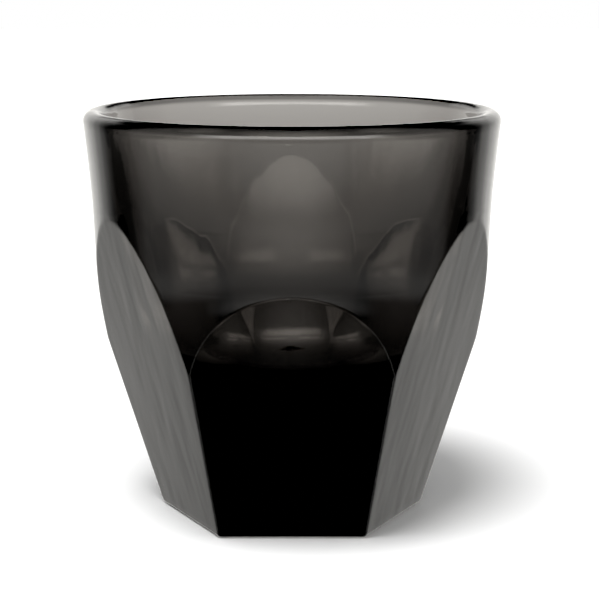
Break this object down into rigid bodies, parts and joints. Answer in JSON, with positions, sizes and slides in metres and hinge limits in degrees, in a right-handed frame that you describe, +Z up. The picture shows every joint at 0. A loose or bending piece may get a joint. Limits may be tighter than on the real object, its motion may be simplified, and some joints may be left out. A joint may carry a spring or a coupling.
{
  "type": "whiskey tumbler",
  "caption": "Smoked-glass tumbler with a round rim that runs down into an arched, faceted lower body and a six-sided foot.",
  "frame": {"origin": "middle of the foot, on the surface that the tumbler stands on", "axes": "+Z up along the tumbler's own axis; the middle of one short facet faces -Y, and the middle of one tall facet faces +Y"},
  "size_m": [0.085, 0.085, 0.0841],
  "materials": {
    "smoked_glass": "clear dark neutral grey glass, tinted all through, moulded and fire polished to a gloss"
  },
  "bodies": {
    "root": {"glass_body": "smoked_glass"}
  },
  "joints": []
}
